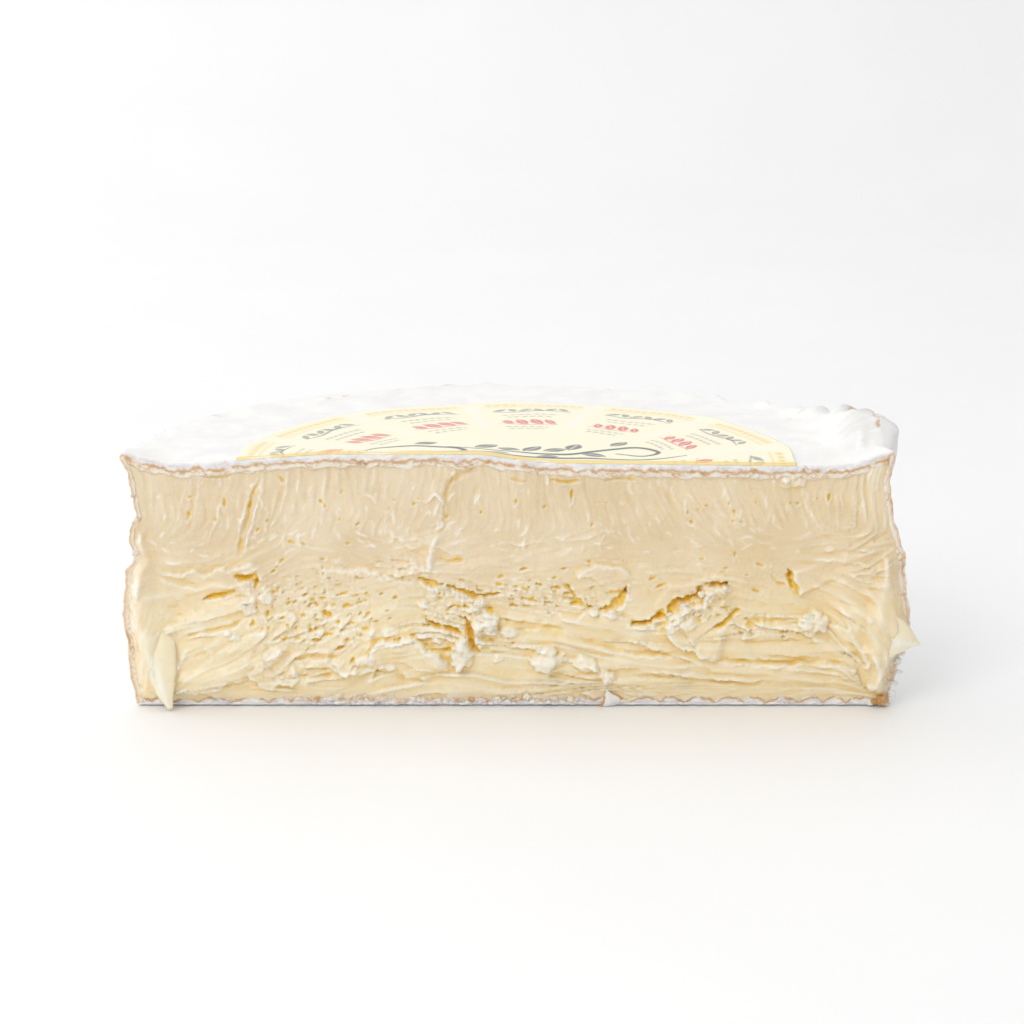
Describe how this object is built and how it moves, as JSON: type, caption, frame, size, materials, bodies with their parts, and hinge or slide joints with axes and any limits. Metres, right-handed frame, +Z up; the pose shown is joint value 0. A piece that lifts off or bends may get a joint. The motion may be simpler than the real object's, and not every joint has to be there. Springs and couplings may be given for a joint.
{
  "type": "half cheese wheel",
  "caption": "Half of a soft-ripened cheese wheel with a torn, smeared cut face, velvety white rind and a cut round paper label on top.",
  "frame": {"origin": "middle of the floor under the whole half wheel, on its flat underside", "axes": "+X along the cut, to the right seen from the cut face; +Y from the cut face back into the half wheel; +Z up"},
  "size_m": [0.206, 0.1034, 0.0696],
  "materials": {
    "soft_paste": null,
    "bloomy_rind": null,
    "label_paper": null
  },
  "bodies": {
    "root": {"cheese_half": "soft_paste", "paper_label": "label_paper"}
  },
  "joints": []
}
